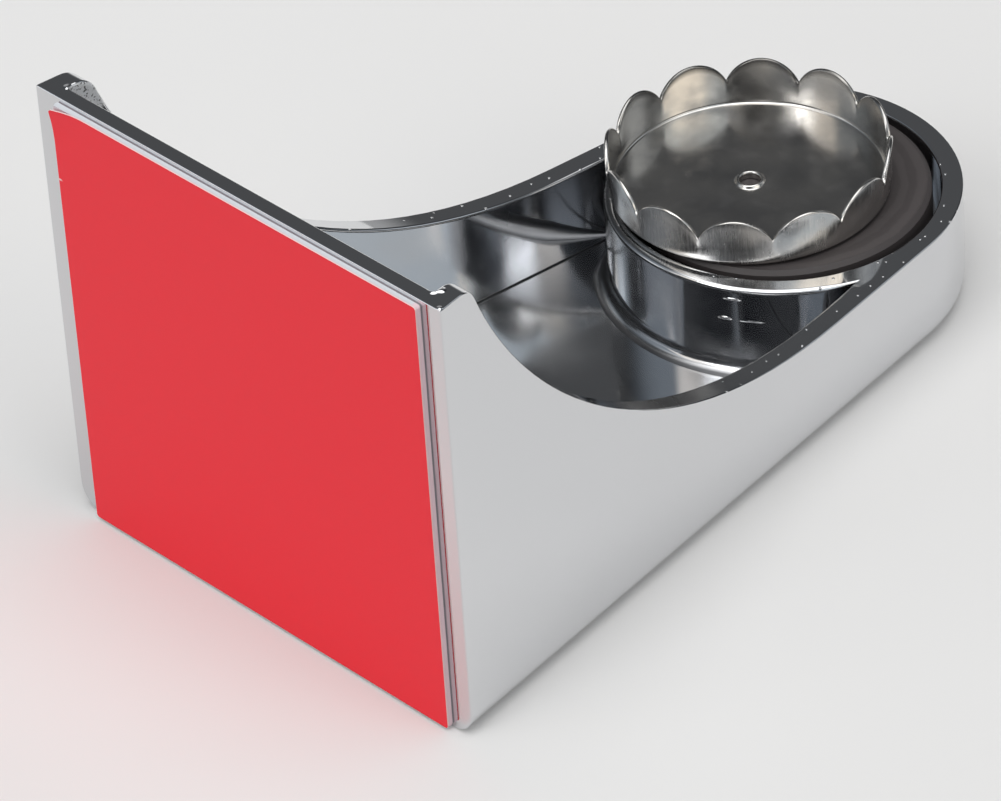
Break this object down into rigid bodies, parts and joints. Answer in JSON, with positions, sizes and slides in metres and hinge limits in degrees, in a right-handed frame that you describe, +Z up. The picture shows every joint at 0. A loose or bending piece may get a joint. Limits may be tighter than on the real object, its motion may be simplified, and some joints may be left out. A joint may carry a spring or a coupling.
{
  "type": "magnetic soap holder",
  "caption": "Wall-mounted soap holder: a chromed wedge-shaped arm with a taped back plate, a disc magnet in its nose and a scalloped steel cap that presses into the soap.",
  "frame": {"origin": "middle of the whole object's outline, on the flat face that it lies on", "axes": "+Y from the wall plate to the nose, +Z up from the face it lies on, +X across the plate. This is how the picture shows it: fixed to a wall it hangs the other way up, hollow side and magnet down."},
  "size_m": [0.05, 0.0826, 0.0455],
  "materials": {
    "chrome_plated_abs": "bright chrome plating on moulded ABS",
    "adhesive": "cured clear adhesive",
    "ferrite": "ground sintered ferrite",
    "foam": "closed-cell foam",
    "liner_film": "silicone-coated red film",
    "stainless_steel": "stamped sheet, rolled finish"
  },
  "bodies": {
    "holder": {"holder_body": "chrome_plated_abs", "magnet_glue": "adhesive", "magnet": "ferrite", "foam_tape": "foam"},
    "cap": {"soap_cap": "stainless_steel"},
    "liner": {"release_liner": "liner_film"}
  },
  "joints": [
    {"name": "cap_lift", "type": "slide", "parent": "holder", "child": "cap", "axis": [0, 0, 1], "range_m": [0, 0.04]},
    {"name": "liner_peel", "type": "slide", "parent": "holder", "child": "liner", "axis": [0, -1, 0], "range_m": [0, 0.02]}
  ]
}
